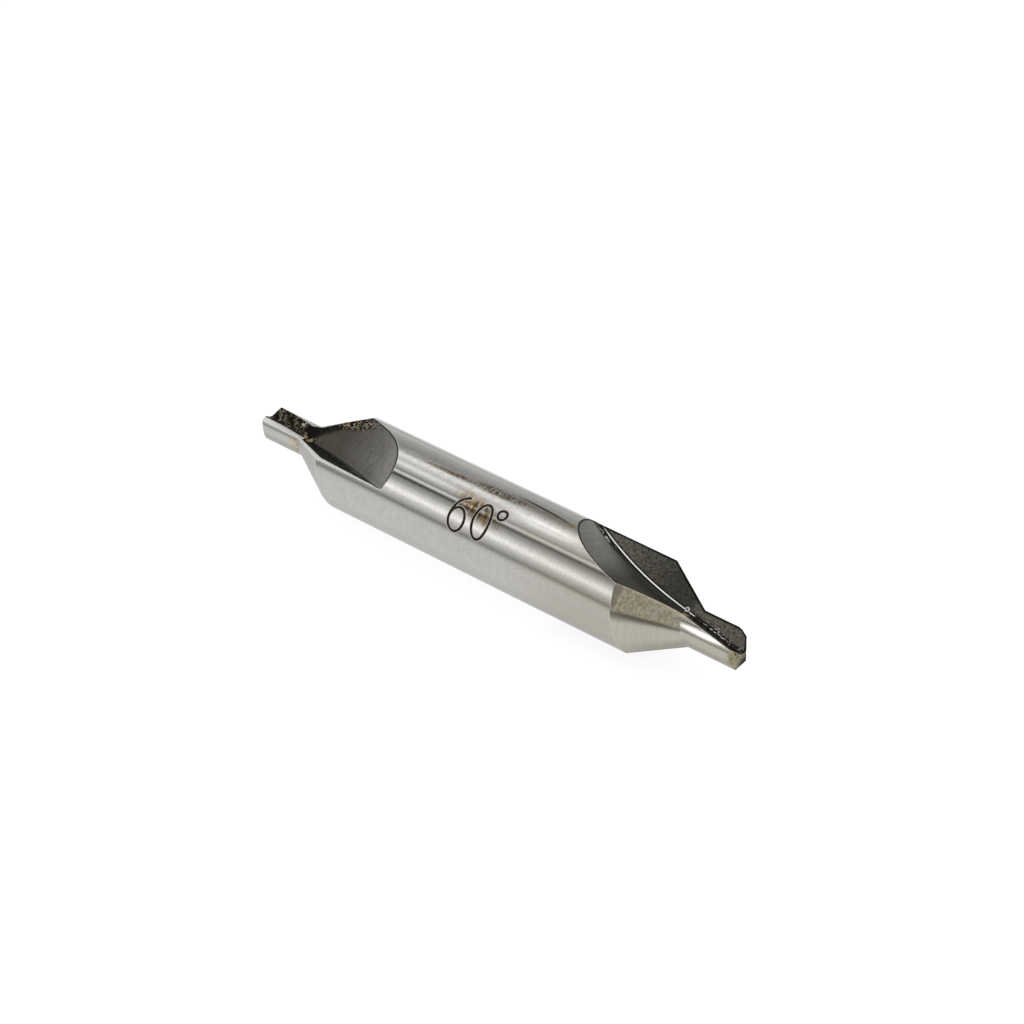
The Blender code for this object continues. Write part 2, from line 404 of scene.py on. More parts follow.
def relief_cutter():
    """The space outside one land: its section goes round the axis and takes each angle's own corners."""
    bm = bmesh.new()
    ring = [bm.verts.new(corner) for corner in relief_section(-RELIEF_AHEAD)]
    ends = [bm.faces.new(ring)]
    for index in range(1, RELIEF_STEPS + 1):
        grown = bmesh.ops.extrude_face_region(bm, geom=ends[-1:])["geom"]
        ends += [item for item in grown if isinstance(item, bmesh.types.BMFace)]
        ring = [min(ends[-1].verts, key=lambda vert: (vert.co - last.co).length) for last in ring]
        behind = (RELIEF_AHEAD + RELIEF_BEHIND) * index / RELIEF_STEPS - RELIEF_AHEAD
        for vert, corner in zip(ring, relief_section(behind)):
            vert.co = corner
    bmesh.ops.delete(bm, geom=ends[1:-1], context="FACES_ONLY")
    for face in bm.faces:
        face.material_index = LAND
    return bm


def arc(start, heading, radius, turn, steps):
    """Points after start along an arc in a plane; turn is positive to the left."""
    side = math.copysign(math.pi / 2, turn)
    centre = start + radius * Vector((math.cos(heading + side), math.sin(heading + side)))
    angles = [heading - side + turn * index / steps for index in range(1, steps + 1)]
    return [centre + radius * Vector((math.cos(angle), math.sin(angle))) for angle in angles]


def flute_section():
    """The wheel's rim in section: in along the cutting face, round the root and up the curved back wall."""
    foot = Vector((FLUTE_ROOT_RADIUS / math.tan(FLUTE_ANGLE / 2), 0.0))
    beside = foot + Vector((BESIDE_ROOT, 0.0))
    root = arc(foot, math.pi, FLUTE_ROOT_RADIUS, FLUTE_ANGLE - math.pi, ROOT_STEPS)
    wall = arc(root[-1], FLUTE_ANGLE, BACK_WALL_RADIUS, BACK_WALL_SWEEP, BACK_WALL_STEPS)
    leaving = FLUTE_ANGLE + BACK_WALL_SWEEP
    top = wall[-1] + 2 * SHANK_RADIUS * Vector((math.cos(leaving), math.sin(leaving)))
    far = 2 * SHANK_RADIUS
    return [Vector((far, 0.0)), beside, foot, *root, *wall, top, Vector((far, top.y))]


def flute_cutter(short):
    """What the wheel sweeps: straight in from beyond the tip, then out on an arc of its own radius."""
    along = Vector((math.cos(FLUTE_SLOPE), -math.sin(FLUTE_SLOPE), 0.0))
    outward = Vector((math.sin(FLUTE_SLOPE), math.cos(FLUTE_SLOPE), 0.0))
    square = Vector((0.0, 0.0, 1.0))
    root_y = FLUTE_ROOT_AT_SHOULDER - WHEEL_LIFT * math.tan(FLUTE_SLOPE)
    corner = Vector((WHEEL_LIFT + short, root_y, HALF_WEB))
    axle = corner + WHEEL_RADIUS * outward
    run = (TIP_X + STOCK + OVERRUN) / math.cos(FLUTE_SLOPE)
    lift = math.acos(1 - (SHANK_RADIUS + OVERRUN) / WHEEL_RADIUS)
    section = flute_section()
    bm = bmesh.new()
    start = [bm.verts.new(corner + run * along + point.x * outward + point.y * square) for point in section]
    swept = bmesh.ops.extrude_face_region(bm, geom=[bm.faces.new(start)])["geom"]
    verts = [item for item in swept if isinstance(item, bmesh.types.BMVert)]
    bmesh.ops.translate(bm, verts=verts, vec=-run * along)
    end = [item for item in swept if isinstance(item, bmesh.types.BMFace)]
    bmesh.ops.spin(
        bm,
        geom=end,
        cent=axle,
        axis=square,
        angle=-lift,
        steps=WHEEL_STEPS,
        use_merge=False,
        use_normal_flip=False,
        use_duplicate=False,
    )
    bmesh.ops.delete(bm, geom=end, context="FACES_ONLY")
    root_top = section[BRIGHT_ROOT_STEPS + 2].y
    corner_top = section[ROOT_STEPS + 2 + DARK_WALL_STEPS].y
    for face in bm.faces:
        middle = face.calc_center_median() - corner
        if middle.dot(along) > 0:
            above_root = middle.dot(outward)
        else:
            above_root = WHEEL_RADIUS - (middle - WHEEL_RADIUS * outward).xy.length
        if middle.z < WELD:
            face.material_index = CORNER if above_root < section[1].x else FACE
        elif middle.z < root_top:
            face.material_index = ROOT
        else:
            face.material_index = CORNER if middle.z < corner_top else WALL
    return bm


def point_cutter(longer, half_angle, size):
    """A block whose one face is a facet behind a lip: it falls away from the lip and from the axis."""
    corner = Vector((CORNER_X + longer, math.sqrt(PILOT_RADIUS**2 - HALF_WEB**2), HALF_WEB))
    along_lip = Vector((math.cos(half_angle), -math.sin(half_angle), 0.0))
    behind_lip = Vector((-math.tan(POINT_RELIEF), 0.0, -1.0))
    normal = along_lip.cross(behind_lip).normalized()
    if normal.x < 0:
        normal.negate()
    bm = bmesh.new()
    bmesh.ops.create_cube(bm, size=size)
    turn = Matrix((along_lip, along_lip.cross(normal), normal)).transposed().to_4x4()
    place = Matrix.Translation(corner + normal * size / 2)
    bmesh.ops.transform(bm, matrix=place @ turn, verts=bm.verts)
    for face in bm.faces:
        face.material_index = LAND
    return bm


def stroke_point(stroke, share):
    """A point of one of the mark's strokes, laid on the shank."""
    (middle_x, middle_y), (half_width, half_height), first, last = stroke
    angle = math.radians(first + (last - first) * share)
    flat = Vector((middle_x + half_width * math.cos(angle), middle_y + half_height * math.sin(angle)))
    flat = (flat - Vector(MARK_SIZE) / 2) * MM
    flat.rotate(Matrix.Rotation(MARK_TILT, 2))
    roll = math.radians(MARK_MIDDLE[1]) + flat.y / SHANK_RADIUS
    return MARK_MIDDLE[0] * MM + flat.x, -SHANK_RADIUS * math.cos(roll), SHANK_RADIUS * math.sin(roll)


def stroke_cutter(stroke, materials):
    """A round wire along the stroke, half sunk in the shank, which cuts one groove of the mark."""
    closed = stroke[3] - stroke[2] == 360.0
    steps = STROKE_STEPS if closed else STROKE_STEPS // 3
    count = steps if closed else steps + 1
    curve = bpy.data.curves.new("stroke", "CURVE")
    curve.dimensions = "3D"
    curve.bevel_depth = STROKE_RADIUS
    curve.bevel_resolution = 2
    curve.use_fill_caps = True
    spline = curve.splines.new("POLY")
    spline.points.add(count - 1)
    for index in range(count):
        spline.points[index].co = (*stroke_point(stroke, index / steps), 1.0)
    spline.use_cyclic_u = closed
    wire = bpy.data.objects.new("stroke", curve)
    bpy.context.scene.collection.objects.link(wire)
    mesh = bpy.data.meshes.new_from_object(wire.evaluated_get(bpy.context.evaluated_depsgraph_get()))
    bpy.data.objects.remove(wire)
    bm = bmesh.new()
    bm.from_mesh(mesh)
    bpy.data.meshes.remove(mesh)
    bmesh.ops.remove_doubles(bm, verts=bm.verts, dist=WELD)
    for face in bm.faces:
        face.material_index = MARK
    return object_from(bm, "stroke", materials)


def cutters(materials):
    """Every cut, in the order in which it is made: the two ends, then the mark."""
    made = []
    ends = (
        ("right", RIGHT_END_TURN, 0.0, (WORN, LONGER)),
        ("left", LEFT_END_TURN, LEFT_FLUTES_SHORT, (TRUE, TRUE)),
    )
    for side, turn, short, points in ends:
        facing = Matrix.Rotation(math.pi if side == "left" else 0.0, 4, "Z")
        out = Matrix.Translation((SHANK_LENGTH / 2, 0.0, 0.0))
        for number, facets in enumerate(points):
            lip = Matrix.Rotation(turn + math.pi * number, 4, "X")
            for bm in (relief_cutter(), *(point_cutter(*facet) for facet in facets), flute_cutter(short)):
                bmesh.ops.transform(bm, matrix=lip @ facing @ out, verts=bm.verts)
                made.append(object_from(bm, f"{side}_cutter", materials))
    made += [stroke_cutter(stroke, materials) for stroke in MARK_STROKES]
    return made


def ground_drill(materials):
    """The blank with every cut made, as one plain mesh."""
    blank = object_from(turned_blank(), "blank", materials)
    used = cutters(materials)
    for cutter in used:
        boolean = blank.modifiers.new(cutter.name, "BOOLEAN")
        boolean.operation = "DIFFERENCE"
        boolean.solver = "EXACT"
        boolean.object = cutter
    mesh = bpy.data.meshes.new_from_object(blank.evaluated_get(bpy.context.evaluated_depsgraph_get()))
    for obj in (blank, *used):
        bpy.data.objects.remove(obj)
    bm = bmesh.new()
    bm.from_mesh(mesh)
    bmesh.ops.remove_doubles(bm, verts=bm.verts, dist=WELD)
    bmesh.ops.dissolve_degenerate(bm, edges=bm.edges, dist=WELD)
    bm.to_mesh(mesh)
    bm.free()
    mesh.shade_smooth()
    mesh.set_sharp_from_angle(angle=SHARP_EDGE)
    mesh.name = "drill_body"
    drill = bpy.data.objects.new("drill_body", mesh)
    bpy.context.scene.collection.objects.link(drill)
    return drill


def burrs(name, steel_under, clusters, curls, material, seed):
    """Rough crumbs half sunk in the steel, and curls lying on it, as one piece."""
    draw = random.Random(seed)
    bm = bmesh.new()
    for middle, spread, count, size in clusters:
        for _ in range(count):
            near = Vector([draw.gauss(value, spread / 2) for value in middle]) * MM
            at, normal, _, _ = steel_under.find_nearest(near)
            spun = Matrix.Rotation(draw.uniform(0.0, math.pi), 4, normal)
            upright = normal.to_track_quat("Z", "X").to_matrix().to_4x4()
            radii = [size * MM * draw.uniform(*CRUMB_STRETCH) for _ in range(2)]
            radii.append(size * MM * CRUMB_HEIGHT)
            place = Matrix.Translation(at) @ spun @ upright @ Matrix.Diagonal((*radii, 1.0))
            made = bmesh.ops.create_icosphere(bm, subdivisions=2, radius=1.0, matrix=place)
            for vert in made["verts"]:
                vert.co = at + (vert.co - at) * draw.uniform(*CRUMB_ROUGHNESS)
    for middle, radius, thickness in curls:
        at, normal, _, _ = steel_under.find_nearest(Vector(middle) * MM)
        turn = normal.to_track_quat("Z", "X").to_matrix().to_4x4()
        place = Matrix.Translation(at + normal * thickness * MM / 2) @ turn
        hoop = place @ Matrix.Translation((radius * MM, 0.0, 0.0)) @ Matrix.Rotation(math.pi / 2, 4, "X")
        made = bmesh.ops.create_circle(bm, segments=CURL_SIDES, radius=thickness * MM, matrix=hoop)
        wire = made["verts"]
        rim_edges = list({edge for vert in wire for edge in vert.link_edges})
        bmesh.ops.spin(
            bm,
            geom=wire + rim_edges,
            cent=place.translation,
            axis=place.to_3x3() @ Vector((0.0, 0.0, 1.0)),
            angle=2 * math.pi,
            steps=CURL_STEPS,
            use_merge=True,
            use_normal_flip=False,
            use_duplicate=False,
        )
    bmesh.ops.remove_doubles(bm, verts=bm.verts, dist=WELD)
    piece = object_from(bm, name, (material,))
    piece.data.shade_smooth()
    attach(piece, "root")


# Materials


def material_for(name):
    """A material with an empty tree, and the tree's output."""
    material = bpy.data.materials.new(name)
    material.use_nodes = True
    tree = material.node_tree
    tree.nodes.clear()
    return material, tree, add(tree, "ShaderNodeOutputMaterial")


def grain(tree, size, detail=2.0, rough=0.5):
    """Noise on Object coordinates whose spots measure size millimetres along X, Y and Z."""
    coordinates = add(tree, "ShaderNodeTexCoord")
    scale = [1 / (length * MM) for length in size]
    spread = add(tree, "ShaderNodeMapping", {"Vector": coordinates.outputs["Object"], "Scale": scale})
    inputs = {"Vector": spread, "Scale": 1.0, "Detail": detail, "Roughness": rough}
    return add(tree, "ShaderNodeTexNoise", inputs)


def unrolled(tree):
    """The shank's surface laid flat, in millimetres: along it, and round it from the front upwards."""
    place = add(tree, "ShaderNodeSeparateXYZ", {0: add(tree, "ShaderNodeTexCoord").outputs["Object"]})
    front = add(tree, "ShaderNodeMath", {0: place.outputs["Y"], 1: -1.0}, operation="MULTIPLY")
    roll = add(tree, "ShaderNodeMath", {0: place.outputs["Z"], 1: front}, operation="ARCTAN2")
    round_it = add(tree, "ShaderNodeMath", {0: roll, 1: SHANK_RADIUS / MM}, operation="MULTIPLY")
    along = add(tree, "ShaderNodeMath", {0: place.outputs["X"], 1: 1 / MM}, operation="MULTIPLY")
    return add(tree, "ShaderNodeCombineXYZ", {"X": along, "Y": round_it}), along, round_it


def patch(tree, flat, middle, half_size, tilt=0.0, bend=0.0):
    """1 in the middle of a soft oval on the unrolled steel, and 0 from its edge outwards.

    middle and half_size are millimetres along and degrees round, and bend bows it by that many half widths.
    """
    degree = math.radians(1.0) * SHANK_RADIUS / MM
    inputs = {
        "Vector": flat,
        "Location": (middle[0], middle[1] * degree, 0.0),
        "Rotation": (0.0, 0.0, tilt),
        "Scale": (half_size[0], half_size[1] * degree, 1.0),
    }
    moved = add(tree, "ShaderNodeMapping", inputs, vector_type="TEXTURE")
    local = add(tree, "ShaderNodeSeparateXYZ", {0: moved})
    square = add(tree, "ShaderNodeMath", {0: local.outputs["X"], 1: local.outputs["X"]}, operation="MULTIPLY")
    inputs = {0: square, 1: bend, 2: local.outputs["Y"]}
    bowed = add(tree, "ShaderNodeMath", inputs, operation="MULTIPLY_ADD")
    out = add(tree, "ShaderNodeCombineXYZ", {"X": local.outputs["X"], "Y": bowed})
    distance = add(tree, "ShaderNodeVectorMath", {0: out}, operation="LENGTH").outputs["Value"]
    return add(tree, "ShaderNodeMapRange", {0: distance, 1: 1.0, 2: 0.35}, interpolation_type="SMOOTHSTEP")


def film(tree, below, colour, where, pattern, start, full):
    """Lays a film over a colour inside a patch, from where the pattern is start to where it is full."""
    spots = add(tree, "ShaderNodeMapRange", {0: pattern, 1: start, 2: full})
    share = add(tree, "ShaderNodeMath", {0: where, 1: spots}, operation="MULTIPLY")
    inputs = {0: share, 6: below, 7: linear(colour)}
    return add(tree, "ShaderNodeMix", inputs, data_type="RGBA").outputs[2]


def rim(tree, rounded):
    """1 on the rounding of an edge, and 0 away from it."""
    flat = add(tree, "ShaderNodeNewGeometry").outputs["Normal"]
    alike = add(tree, "ShaderNodeVectorMath", {0: rounded, 1: flat}, operation="DOT_PRODUCT").outputs["Value"]
    return add(tree, "ShaderNodeMapRange", {0: alike, 1: 0.999, 2: 0.965})


def steel(name, lines, depth, anisotropy, paint):
    """Ground steel: lines is the size of its grinding marks in millimetres, and depth how deep they are."""
    material, tree, output = material_for(name)
    marks = grain(tree, lines)
    rounded = add(tree, "ShaderNodeBevel", {"Radius": EDGE_RADIUS}, samples=6)
    colour, roughness = paint(tree, marks, rim(tree, rounded))
    bump = add(tree, "ShaderNodeBump", {"Distance": depth, "Height": marks, "Normal": rounded})
    inputs = {
        "Base Color": colour,
        "Metallic": 1.0,
        "Roughness": roughness,
        "Normal": bump,
        "Anisotropic": anisotropy,
        "Anisotropic Rotation": 0.25,
        "Tangent": add(tree, "ShaderNodeTangent", direction_type="RADIAL", axis="X"),
    }
    shader = add(tree, "ShaderNodeBsdfPrincipled", inputs)
    tree.links.new(shader.outputs[0], output.inputs["Surface"])
    return material


def shank_paint(tree, marks, edge):
    """Bright bare steel: duller to the right and warmer there, a painted reflection, with brown ticks and
    scuffs, patches of painted light and shade, and edges painted light as highlights.
    """
    flat, along, _ = unrolled(tree)
    inputs = {0: marks, 6: linear("#B6B4B0"), 7: linear("#C6C4C1")}
    fresh = add(tree, "ShaderNodeMix", inputs, data_type="RGBA").outputs[2]
    # The warmer tint on the right is a painted reflection of a warm floor
    warmer = add(tree, "ShaderNodeMapRange", {0: along, 1: SHANK_WARMER[0], 2: SHANK_WARMER[1]})
    inputs = {0: warmer, 6: fresh, 7: linear("#F8F6F1")}
    colour = add(tree, "ShaderNodeMix", inputs, data_type="RGBA", blend_type="MULTIPLY").outputs[2]
    colour = film(tree, colour, "#94928E", 0.32, grain(tree, (0.14, 0.14, 0.14), 2.0), 0.49, 0.68)
    for middle, half_size, tilt, bend, patch_colour, size, start, full in SHANK_STAINS_AND_PAINTED_LIGHT:
        where = patch(tree, flat, middle, half_size, tilt, bend)
        colour = film(tree, colour, patch_colour, where, grain(tree, size, 3.0), start, full)
    inputs = {0: along, 1: SHANK_DULLER[0], 2: SHANK_DULLER[1], 3: 0.12, 4: 0.19}
    duller = add(tree, "ShaderNodeMapRange", inputs)
    uneven = add(tree, "ShaderNodeMapRange", {0: marks, 3: 1.15, 4: 0.85})
    smooth = add(tree, "ShaderNodeMath", {0: duller, 1: uneven}, operation="MULTIPLY")
    rough = add(tree, "ShaderNodeMath", {0: edge, 1: 0.35, 2: smooth}, operation="MULTIPLY_ADD")
    # Painted highlight: the edges are painted light
    inputs = {0: edge, 6: colour, 7: linear("#F6F4F0")}
    tone = add(tree, "ShaderNodeMix", inputs, data_type="RGBA")
    return tone.outputs[2], rough


def land_paint(tree, marks, edge):
    """Relief-ground steel: warm grey, with a mottled straw film along the right end's lip and tan spots, and
    edges painted light as highlights.
    """
    flat, along, round_it = unrolled(tree)
    degree = math.radians(1.0) * SHANK_RADIUS / MM
    inputs = {0: marks, 6: linear("#B2B0AA"), 7: linear("#C6C4BF")}
    fresh = add(tree, "ShaderNodeMix", inputs, data_type="RGBA").outputs[2]
    right = add(tree, "ShaderNodeMath", {0: along, 1: 0.0}, operation="GREATER_THAN")
    inputs = {0: right, 6: fresh, 7: linear("#F5F2E9")}
    colour = add(tree, "ShaderNodeMix", inputs, data_type="RGBA", blend_type="MULTIPLY").outputs[2]
    # Both lands of the end are alike, so the place round the axis repeats each half turn
    place = add(tree, "ShaderNodeMath", {0: round_it, 1: 180.0 * degree}, operation="FLOORED_MODULO")
    above = add(tree, "ShaderNodeMapRange", {0: place, 1: 14.0 * degree, 2: 18.0 * degree})
    below = add(tree, "ShaderNodeMapRange", {0: place, 1: 88.0 * degree, 2: 84.0 * degree})
    upper = add(tree, "ShaderNodeMath", {0: above, 1: below}, operation="MULTIPLY")
    cone = add(tree, "ShaderNodeMapRange", {0: along, 1: STRAW_ENDS[0], 2: STRAW_ENDS[1]})
    on_cone = add(tree, "ShaderNodeMath", {0: right, 1: cone}, operation="MULTIPLY")
    where = add(tree, "ShaderNodeMath", {0: upper, 1: on_cone}, operation="MULTIPLY")
    mottle = grain(tree, (0.28, 0.28, 0.28), 3.0, 0.6)
    lines = grain(tree, (0.09, 1.2, 1.2), 2.0)
    colour = film(tree, colour, "#C9C1AD", where, mottle, -1.0, -0.5)
    colour = film(tree, colour, "#938967", where, mottle, 0.40, 0.72)
    colour = film(tree, colour, "#D2CBB8", where, lines, 0.50, 0.80)
    for middle, half_size, patch_colour, start, full in LAND_STAINS:
        colour = film(tree, colour, patch_colour, patch(tree, flat, middle, half_size), mottle, start, full)
    # Painted highlight: the edges are painted light, less so from the right countersink on
    inputs = {0: along, 1: LAND_RIMS_FADE[0], 2: LAND_RIMS_FADE[1], 3: 1.0, 4: 0.15}
    plain = add(tree, "ShaderNodeMapRange", inputs)
    lighter = add(tree, "ShaderNodeMath", {0: edge, 1: plain}, operation="MULTIPLY")
    rough = add(tree, "ShaderNodeMapRange", {0: marks, 3: 0.24, 4: 0.16})
    inputs = {0: lighter, 6: colour, 7: linear("#E2E0DA")}
    tone = add(tree, "ShaderNodeMix", inputs, data_type="RGBA")
    return tone.outputs[2], rough


def inside_lip(tree, place):
    """How far in from the ends' outer form a point of a flute lies, in millimetres."""
    out = add(tree, "ShaderNodeMath", {0: place.outputs["X"]}, operation="ABSOLUTE")
    cone = {1: SHANK_LENGTH / 2, 2: SHANK_LENGTH / 2 + CONE_LENGTH}
    outer = add(tree, "ShaderNodeMapRange", {0: out, **cone, 3: SHANK_RADIUS / MM, 4: PILOT_RADIUS / MM})
    across = add(tree, "ShaderNodeCombineXYZ", {"Y": place.outputs["Y"], "Z": place.outputs["Z"]})
    radius = add(tree, "ShaderNodeVectorMath", {0: across}, operation="LENGTH").outputs["Value"]
    inputs = {0: radius, 1: -1 / MM, 2: outer}
    return add(tree, "ShaderNodeMath", inputs, operation="MULTIPLY_ADD")


def inside_point(tree, longer, half_angle):
    """How far in from a facet of the right end's point a place of its flute lies, in millimetres along X."""
    place = add(tree, "ShaderNodeSeparateXYZ", {0: add(tree, "ShaderNodeTexCoord").outputs["Object"]})
    across = add(tree, "ShaderNodeCombineXYZ", {"Y": place.outputs["Y"], "Z": place.outputs["Z"]})
    radius = add(tree, "ShaderNodeVectorMath", {0: across}, operation="LENGTH").outputs["Value"]
    slope = 1 / math.tan(half_angle)
    reach = SHANK_LENGTH / 2 + CORNER_X + longer + PILOT_RADIUS * slope
    inputs = {0: radius, 1: slope, 2: place.outputs["X"]}
    out = add(tree, "ShaderNodeMath", inputs, operation="MULTIPLY_ADD")
    return add(tree, "ShaderNodeMath", {0: out, 1: -1 / MM, 2: reach / MM}, operation="MULTIPLY_ADD")


def wall_tone(tree, marks, along):
    """The dull dark grey of the flutes, with painted shade that darkens it towards the pilots."""
    inputs = {0: marks, 6: linear("#5A5852"), 7: linear("#94928D")}
    near = add(tree, "ShaderNodeMix", inputs, data_type="RGBA").outputs[2]
    inputs = {0: marks, 6: linear("#38352E"), 7: linear("#605D55")}
    deep = add(tree, "ShaderNodeMix", inputs, data_type="RGBA").outputs[2]
    out = add(tree, "ShaderNodeMath", {0: along}, operation="ABSOLUTE")
    share = add(tree, "ShaderNodeMapRange", {0: out, 1: WALL_DEEPER[0], 2: WALL_DEEPER[1]})
    inputs = {0: share, 6: near, 7: deep}
    return add(tree, "ShaderNodeMix", inputs, data_type="RGBA").outputs[2]


def shaded_corner(tree, colour):
    """Darkens a colour where the surface is shut in, as in the corner beside the root: painted shade."""
    open_air = add(tree, "ShaderNodeAmbientOcclusion", {"Distance": 1.2 * MM}, samples=8).outputs["AO"]
    share = add(tree, "ShaderNodeMapRange", {0: open_air, 1: 0.80, 2: 0.45, 4: 0.85})
    inputs = {0: share, 6: colour, 7: linear("#1D1A15")}
    return add(tree, "ShaderNodeMix", inputs, data_type="RGBA").outputs[2]


def flute_place(tree):
    """Where a point of a flute is: the unrolled place, and the millimetres along X and inside the lip."""
    place = add(tree, "ShaderNodeSeparateXYZ", {0: add(tree, "ShaderNodeTexCoord").outputs["Object"]})
    flat, along, _ = unrolled(tree)
    return flat, along, inside_lip(tree, place)


def dark_outline(tree, colour, inside, width):
    """The thin dark line just inside the outer edges of a flute."""
    share = add(tree, "ShaderNodeMapRange", {0: inside, 1: width, 2: width / 2, 4: 0.9})
    inputs = {0: share, 6: colour, 7: linear("#14120F")}
    return add(tree, "ShaderNodeMix", inputs, data_type="RGBA").outputs[2]


def flute_tone(tree, marks):
    """The flutes' colour: dull grey, with a rough patch on the left wall and dirt caked on the left pilot."""
    flat, along, inside = flute_place(tree)
    soiled = grain(tree, (0.45, 0.45, 0.45), 4.0, 0.65)
    caked = grain(tree, (0.2, 0.2, 0.2), 3.0, 0.6)
    colour = film(tree, wall_tone(tree, marks, along), "#3A372F", 0.35, soiled, 0.54, 0.66)
    run_out = add(tree, "ShaderNodeMapRange", {0: along, 1: WALL_PALER[0], 2: WALL_PALER[1], 4: 0.22})
    colour = film(tree, colour, "#A9A69C", run_out, soiled, -1.0, -0.5)
    low = add(tree, "ShaderNodeMapRange", {0: along, 1: WALL_DARKER_RIGHT[0], 2: WALL_DARKER_RIGHT[1], 4: 0.8})
    colour = film(tree, colour, "#2B271C", low, soiled, -1.0, -0.5)
    at_left_cone = add(tree, "ShaderNodeMapRange", {0: along, 1: LEFT_CONE_FROM[0], 2: LEFT_CONE_FROM[1]})
    edge = add(tree, "ShaderNodeMapRange", {0: inside, 1: 1.35, 2: 1.10})
    far_edge = add(tree, "ShaderNodeMath", {0: at_left_cone, 1: edge}, operation="MULTIPLY")
    colour = film(tree, colour, "#15120D", far_edge, caked, 0.30, 0.45)
    rough_patch = patch(tree, flat, (-15.3, 105.5), (2.8, 11.0))
    colour = film(tree, colour, "#15120D", rough_patch, caked, 0.60, 0.48)
    colour = film(tree, colour, "#A8987A", rough_patch, caked, 0.56, 0.64)
    pilot = add(tree, "ShaderNodeMapRange", {0: along, 1: CAKED_FROM[0], 2: CAKED_FROM[1]})
    colour = film(tree, colour, "#100E0A", pilot, caked, 0.66, 0.48)
    further = add(tree, "ShaderNodeMapRange", {0: along, 1: FLAKED_FROM[0], 2: FLAKED_FROM[1]})
    colour = film(tree, colour, "#7C7668", further, soiled, 0.52, 0.66)
    return film(tree, colour, "#8A7656", further, caked, 0.60, 0.70)


def wall_paint(tree, marks, edge):
    """The flute's back wall: dull, dark and finely lined, with painted shade in the corner."""
    _, _, inside = flute_place(tree)
    colour = shaded_corner(tree, flute_tone(tree, marks))
    rough = add(tree, "ShaderNodeMapRange", {0: marks, 3: 0.46, 4: 0.36})
    return dark_outline(tree, colour, inside, 0.10), rough


def left_face(tree, along, inside):
    """The left cutting face: a bright strip along its lip, a painted highlight of the honed edge, and black
    behind it, a painted reflection of the dark back wall. Also the strip's share.
    """
    cone = add(tree, "ShaderNodeMapRange", {0: along, 1: -19.6, 2: -15.7, 3: 0.25, 4: 0.55})
    shank = add(tree, "ShaderNodeMapRange", {0: along, 1: -15.7, 2: -9.0, 3: 0.55, 4: 0.1})
    narrow = add(tree, "ShaderNodeMath", {0: cone, 1: shank}, operation="MINIMUM")
    pilot = add(tree, "ShaderNodeMapRange", {0: along, 1: -19.6, 2: -19.9, 4: 0.7})
    width = add(tree, "ShaderNodeMath", {0: narrow, 1: pilot}, operation="ADD")
    margin = add(tree, "ShaderNodeMath", {0: width, 1: inside}, operation="SUBTRACT")
    strip = add(tree, "ShaderNodeMapRange", {0: margin, 1: -0.05, 2: 0.05})
    reach = add(tree, "ShaderNodeMapRange", {0: along, 1: -15.5, 2: -10.5, 3: 1.5, 4: 0.45})
    deep = add(tree, "ShaderNodeMath", {0: margin, 1: reach}, operation="ADD")
    behind = add(tree, "ShaderNodeMapRange", {0: deep, 1: -0.15, 2: 0.15})
    dashes = grain(tree, (0.5, 0.12, 0.12), 2.0)
    cleaner = add(tree, "ShaderNodeMapRange", {0: along, 1: -14.0, 2: -11.0, 4: 0.75})
    colour = flute_tone(tree, grain(tree, (0.1, 0.9, 0.9)))
    colour = film(tree, colour, "#D6D3CB", cleaner, dashes, -1.0, -0.5)
    # Painted reflection: black behind the strip, the dark back wall mirrored in the face
    colour = film(tree, colour, "#100E0A", behind, dashes, 0.66, 0.56)
    # Painted highlight: the near-white strip along the lip
    return film(tree, colour, "#FAF9F6", strip, dashes, -1.0, -0.5), strip


def face_paint(tree, marks, edge):
    """The cutting faces: olive and mottled at the right end, with painted shade in the corner, and dark at the
    left end, with a painted highlight strip along the lip and a painted reflection behind it.
    """
    _, along, inside = flute_place(tree)
    spots = add(tree, "ShaderNodeMapRange", {0: marks, 1: 0.25, 2: 0.75})
    inputs = {0: spots, 6: linear("#494740"), 7: linear("#98968C")}
    olive = add(tree, "ShaderNodeMix", inputs, data_type="RGBA").outputs[2]
    specks = grain(tree, (0.15, 0.15, 0.15), 2.0)
    scratches = grain(tree, (0.4, 0.08, 0.08), 2.0)
    right = film(tree, olive, "#8F896C", 0.35, specks, 0.58, 0.68)
    right = film(tree, right, "#2A2822", 0.3, scratches, 0.53, 0.64)
    before = add(tree, "ShaderNodeMapRange", {0: along, 1: 11.0, 2: 17.0, 4: 0.66})
    after = add(tree, "ShaderNodeMapRange", {0: along, 1: 19.6, 2: 18.8})
    lower = add(tree, "ShaderNodeMath", {0: before, 1: after}, operation="MULTIPLY")
    right = film(tree, right, "#2A2822", lower, specks, -1.0, -0.5)
    right = dark_outline(tree, right, inside, 0.2)
    for (longer, half_angle, _), width in zip(WORN, (0.16, 0.4)):
        right = dark_outline(tree, right, inside_point(tree, longer, half_angle), width)
    right = shaded_corner(tree, right)
    left, strip = left_face(tree, along, inside)
    at_right = add(tree, "ShaderNodeMath", {0: along, 1: 0.0}, operation="GREATER_THAN")
    satin = add(tree, "ShaderNodeMapRange", {0: strip, 3: 0.48, 4: 0.70})
    rough = add(tree, "ShaderNodeMix", {0: at_right, 2: satin, 3: 0.22}, data_type="FLOAT")
    inputs = {0: at_right, 6: left, 7: right}
    tone = add(tree, "ShaderNodeMix", inputs, data_type="RGBA")
    return tone.outputs[2], rough


